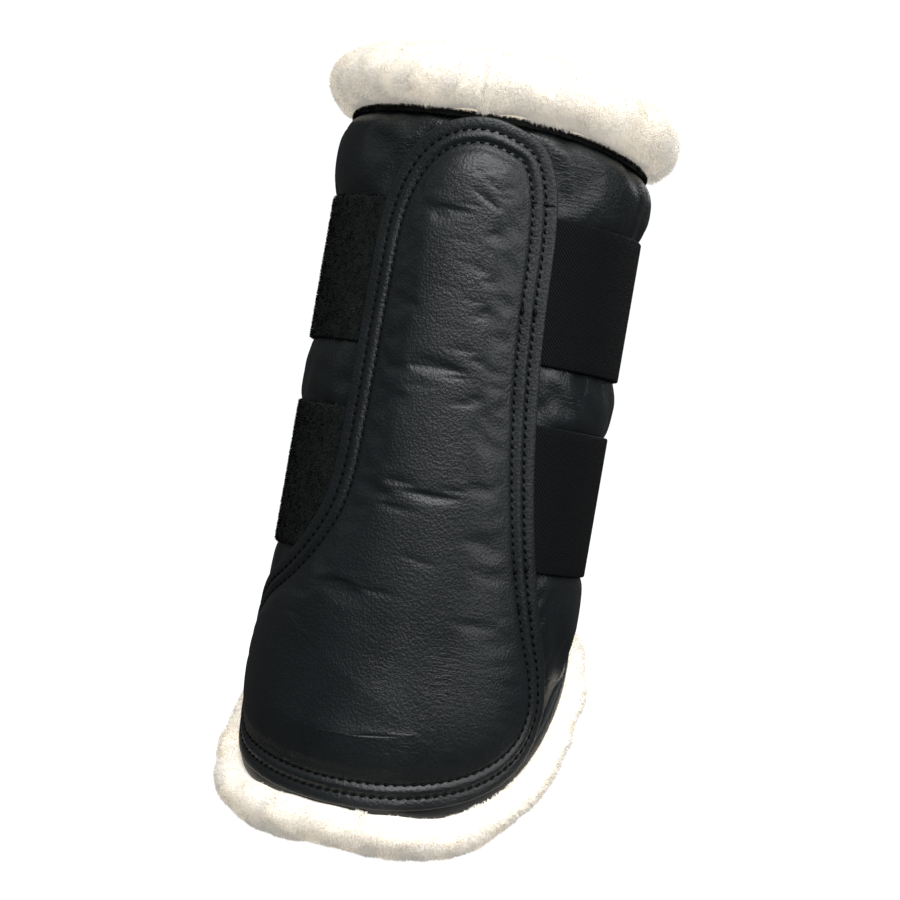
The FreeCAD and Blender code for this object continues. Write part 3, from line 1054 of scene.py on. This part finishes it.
def make_roll(name, side, middle, wide, tall, follow_hem, seed):
    """One half of a fleece roll: a spun section, uneven as stuffed fleece is."""
    start, end = span_turns(side)
    bm = bmesh.new()
    ring = roll_section(bm, middle, wide, tall, 44)
    bmesh.ops.rotate(bm, verts=ring, cent=(0, 0, 0),
                     matrix=Matrix.Rotation(math.radians(start), 3, "Z"))
    edges = list({edge for vert in ring for edge in vert.link_edges})
    bmesh.ops.spin(bm, geom=ring + edges, cent=(0, 0, 0), axis=(0, 0, 1), dvec=(0, 0, 0),
                   angle=math.radians(end - start), steps=92, use_merge=False)
    rim = [edge for edge in bm.edges if edge.is_boundary]
    bmesh.ops.holes_fill(bm, edges=rim, sides=0)
    bmesh.ops.recalc_face_normals(bm, faces=bm.faces)
    for vert in bm.verts:
        turn = turn_at(vert.co)
        vert.co.z += hem_height(turn) - HEM_LOW if follow_hem else -top_drop(turn)
    bm.normal_update()
    make_lumpy(bm, bm.verts, 0.9 * MM, seed)
    return finish_piece(bm, name, "fleece")


def coat_with_fleece(base, name, count, seed, keep, droop=0.0):
    """The fleece on a body, whose fibres may droop."""
    size = sizes()
    paint_pile_shade(base, 0.35)
    return grow_pile(base, name, count, size.pile_long, 0.24 * MM, size.clump, seed, keep,
                     upright=0.55, droop=droop)


ROLL_RADIUS = 50.6 * MM
ROLL_FIBRES = 59000


def make_fleece_rolls():
    """The fleece that rolls out over the top edge and the lower edge."""
    pile = sizes().pile_long
    for side in SIGNS:
        collar_middle = (ROLL_RADIUS, mix(SHELL_TOP, BOOT_TOP, 0.5) - 0.2 * MM)
        collar = make_roll(f"collar_{side}_body", side, collar_middle, 11.6 * MM,
                           (BOOT_TOP - SHELL_TOP) / 2.0 - 0.6 * pile, False, 5)
        collar_pile = coat_with_fleece(collar, f"collar_{side}_pile", ROLL_FIBRES, 15,
                                       lambda middle, outward: outward[:, 2] > -0.9, 0.22)
        roll = make_roll(f"hem_roll_{side}_body", side, (ROLL_RADIUS, HEM_LOW / 2.0 + 1.2 * MM),
                         10.8 * MM, HEM_LOW / 2.0 - 0.25 * pile, True, 25)
        roll_pile = coat_with_fleece(roll, f"hem_roll_{side}_pile", ROLL_FIBRES, 35,
                                     lambda middle, outward: outward[:, 2] < 0.9, 0.12)
        join_side((collar, collar_pile, roll, roll_pile))
        for piece, part in ((collar, "collar"), (roll, "hem_roll")):
            stand_for(piece, side, part)


def make_lining_half(side):
    """One half of the fleece lining, with its pile towards the leg."""
    start, end = span_turns(side)
    inner = CHANNEL_RADIUS + 4.4 * MM
    outer = LINING_RADIUS + 0.1 * MM

    def place(u, v, w):
        turn = mix(start, end, u)
        height = mix(hem_height(turn) - 3.0 * MM, SHELL_TOP - top_drop(turn) + 3.0 * MM, v)
        return on_leg(turn, mix(inner, outer, w), height)

    bm = slab(60, 70, place)
    near_leg = [vert for vert in bm.verts if radius_of(vert.co) < (inner + outer) / 2.0]
    make_lumpy(bm, near_leg, 0.7 * MM, 40)
    base = finish_piece(bm, f"lining_{side}_body", "fleece")
    seed = 50 if side == "right" else 51
    pile = coat_with_fleece(base, f"lining_{side}_pile", 28000, seed, facing_leg_or_seam)
    join_side((base, pile))
    stand_for(base, side, "lining")


def facing_leg_or_seam(middle, outward):
    """Picks the faces that look at the leg axis or out of the rear seam."""
    at_seam = (middle[:, 1] > 0.8 * CHANNEL_RADIUS) & (abs(middle[:, 0]) < 1.6 * MM)
    return facing_leg(middle, outward) | (at_seam & (abs(outward[:, 0]) > 0.3))


def make_top_trim(side):
    """The brushed textile edge between the shell and the collar."""
    turns = span_turns(side)
    low, high = SHELL_TOP - 1.2 * MM, SHELL_TOP + 0.6 * MM
    trim = make_band(f"top_trim_{side}", turns, (low, high), lambda turn: SHELL_RADIUS - 0.9 * MM,
                     3.0 * MM, "edge_trim", 60, 0.5 * MM, drop=top_drop)
    fuzz = brush(trim, f"top_trim_{side}_fuzz", 14000, 1.2 * MM, 0.13 * MM, 1.4 * MM, 90)
    join_side((trim, fuzz))
    stand_for(trim, side, "top_trim")


def make_hem_binding(side):
    """The smooth binding that is folded round the lower edge."""
    start, end = span_turns(side)
    size = sizes()

    def place(u, v, w):
        turn = mix(start, end, u)
        height = hem_height(turn) - 0.8 * MM + size.hem_wide * v
        bulge = 0.5 * MM * math.sin(math.pi * v) ** 0.7
        outer = SHELL_RADIUS + 0.75 * MM + bulge - 1.0 * MM * (1.0 - float(smooth(v, 0.0, 0.25)))
        return on_leg(turn, mix(SHELL_RADIUS - 3.5 * MM, outer, w), height)

    bm = slab(70, 8, place)
    round_rim(bm, 0.6 * MM)
    piece = finish_piece(bm, f"hem_binding_{side}", "hem_leather")
    lay_flat(piece, (start + end) / 2.0)
    subdivide(piece, 1)
    join_side([piece])
    stand_for(piece, side, "hem_binding")


# ---- stage

EYE_HEIGHT = 136.0 * MM
EYE_DISTANCE = 950.0 * MM
EYE_TURN = 16.0
EYE_ROLL = 9.8
LENS = 106.44
SENSOR = 36.0
SHIFT_RIGHT = 1.4 * MM
SHIFT_UP = 3.9 * MM


def make_camera():
    """The camera, level with the boot's middle and rolled so that the boot leans right."""
    data = bpy.data.cameras.new("camera")
    data.sensor_width = SENSOR
    data.lens = LENS
    data.clip_end = 50.0
    camera = bpy.data.objects.new("camera", data)
    bpy.context.scene.collection.objects.link(camera)
    look = Matrix.Rotation(math.radians(EYE_TURN), 4, "Z") @ Matrix.Rotation(
        math.radians(90.0), 4, "X") @ Matrix.Rotation(math.radians(EYE_ROLL), 4, "Z")
    aim = on_leg(EYE_TURN, EYE_DISTANCE, EYE_HEIGHT)
    aim += look.to_3x3() @ Vector((SHIFT_RIGHT, SHIFT_UP, 0.0))
    camera.matrix_world = Matrix.Translation(aim) @ look
    bpy.context.scene.camera = camera


def make_light(name, place, size, power):
    """A soft area light that looks at the boot's middle."""
    data = bpy.data.lights.new(name, "AREA")
    data.shape = "RECTANGLE"
    data.size, data.size_y = size
    data.energy = power
    light = bpy.data.objects.new(name, data)
    light.location = place
    aim = Vector((0.0, 0.0, EYE_HEIGHT)) - Vector(place)
    light.rotation_euler = aim.to_track_quat("-Z", "Y").to_euler()
    bpy.context.scene.collection.objects.link(light)


def make_backdrop():
    """A floor that curves up into a round wall."""
    bm = bmesh.new()
    radius, wall, curve = 3.2, 4.0, 1.2
    profile = [(0.0, 0.0), (radius - curve, 0.0)]
    profile += [(radius - curve + curve * math.sin(step), curve - curve * math.cos(step))
                for step in np.linspace(0.15, math.pi / 2, 9)]
    profile.append((radius, wall))
    verts = [bm.verts.new((across, 0.0, up - 0.5 * MM)) for across, up in profile]
    edges = [bm.edges.new(pair) for pair in zip(verts, verts[1:])]
    bmesh.ops.spin(bm, geom=verts + edges, cent=(0, 0, 0), axis=(0, 0, 1), dvec=(0, 0, 0),
                   angle=2 * math.pi, steps=64, use_merge=True)
    bmesh.ops.remove_doubles(bm, verts=bm.verts[:], dist=0.1 * MM)
    bmesh.ops.recalc_face_normals(bm, faces=bm.faces)
    bmesh.ops.reverse_faces(bm, faces=bm.faces)
    backdrop = finish_piece(bm, "backdrop", "backdrop_paper")
    for kind in ("glossy", "diffuse", "transmission", "shadow"):
        setattr(backdrop, f"visible_{kind}", False)


def make_world():
    world = bpy.data.worlds.new("studio")
    world.use_nodes = True
    world.node_tree.nodes["Background"].inputs["Color"].default_value = (1.0, 1.0, 1.0, 1.0)
    world.node_tree.nodes["Background"].inputs["Strength"].default_value = 0.07
    bpy.context.scene.world = world
    bpy.context.scene.view_settings.view_transform = "Standard"


# Each studio light: name, place and size in metres, and power in watts.
LIGHTS = (
    ("key", (0.4, -1.45, 1.4), (1.5, 1.5), 56.0),
    ("left", (-1.7, -0.6, 0.9), (0.8, 1.2), 1.2),
    ("right", (1.7, -0.5, 0.9), (0.8, 1.2), 14.0),
    ("top", (0.0, -0.1, 2.2), (1.6, 1.6), 5.0),
    ("rear", (0.2, 1.7, 1.4), (1.4, 1.4), 16.0),
)


# ---- operators and panel

class BOOT_OT_stage(bpy.types.Operator):
    """Make the camera, lights, floor and backdrop"""
    bl_idname = "boot.stage"
    bl_label = "Stage"

    def execute(self, context):
        make_camera()
        make_backdrop()
        make_world()
        for name, place, size, power in LIGHTS:
            make_light(name, place, size, power)
        return {"FINISHED"}


class BOOT_OT_shell(bpy.types.Operator):
    """Make the two halves of the padded shell"""
    bl_idname = "boot.shell"
    bl_label = "Shell"

    def execute(self, context):
        for side in SIGNS:
            make_shell_half(side)
        return {"FINISHED"}


class BOOT_OT_strike_pad(bpy.types.Operator):
    """Make the domed strike pad and its stitching"""
    bl_idname = "boot.strike_pad"
    bl_label = "Strike pad"

    def execute(self, context):
        make_strike_pad()
        make_stitching()
        return {"FINISHED"}


class BOOT_OT_straps(bpy.types.Operator):
    """Make the elastic straps with their hook tape and pull tabs"""
    bl_idname = "boot.straps"
    bl_label = "Elastic straps"

    def execute(self, context):
        for level in LEVELS:
            make_strap(level)
        return {"FINISHED"}


class BOOT_OT_loop_tapes(bpy.types.Operator):
    """Make the brushed loop tapes"""
    bl_idname = "boot.loop_tapes"
    bl_label = "Loop tapes"

    def execute(self, context):
        for seed, level in enumerate(LEVELS, start=60):
            make_loop_tape(level, seed)
        return {"FINISHED"}


class BOOT_OT_fleece(bpy.types.Operator):
    """Make the fleece lining and the rolls at both ends"""
    bl_idname = "boot.fleece"
    bl_label = "Fleece"

    def execute(self, context):
        make_fleece_rolls()
        for side in SIGNS:
            make_lining_half(side)
        return {"FINISHED"}


class BOOT_OT_edges(bpy.types.Operator):
    """Make the brushed top edge and the smooth lower binding"""
    bl_idname = "boot.edges"
    bl_label = "Edges"

    def execute(self, context):
        for side in SIGNS:
            make_top_trim(side)
            make_hem_binding(side)
        return {"FINISHED"}


OPERATORS = (BOOT_OT_stage, BOOT_OT_shell, BOOT_OT_strike_pad, BOOT_OT_straps,
             BOOT_OT_loop_tapes, BOOT_OT_fleece, BOOT_OT_edges)


class BOOT_PT_panel(bpy.types.Panel):
    """Lists the boot's operators and sizes"""
    bl_label = "Tendon boot"
    bl_idname = "BOOT_PT_panel"
    bl_space_type = "VIEW_3D"
    bl_region_type = "UI"
    bl_category = "Boot"

    def draw(self, context):
        for operator in OPERATORS:
            self.layout.operator(operator.bl_idname)
        for group in (context.scene.boot_sizes, context.scene.boot_colours):
            for name in group.__annotations__:
                self.layout.prop(group, name)


CLASSES = (BootSizes, BootColours) + OPERATORS + (BOOT_PT_panel,)


def register():
    for item in CLASSES:
        bpy.utils.register_class(item)
    bpy.types.Scene.boot_sizes = bpy.props.PointerProperty(type=BootSizes)
    bpy.types.Scene.boot_colours = bpy.props.PointerProperty(type=BootColours)


def unregister():
    del bpy.types.Scene.boot_colours
    del bpy.types.Scene.boot_sizes
    for item in reversed(CLASSES):
        bpy.utils.unregister_class(item)


def main():
    register()
    for operator in OPERATORS:
        getattr(bpy.ops.boot, operator.bl_idname.split(".")[1])()


if __name__ == "__main__":
    main()
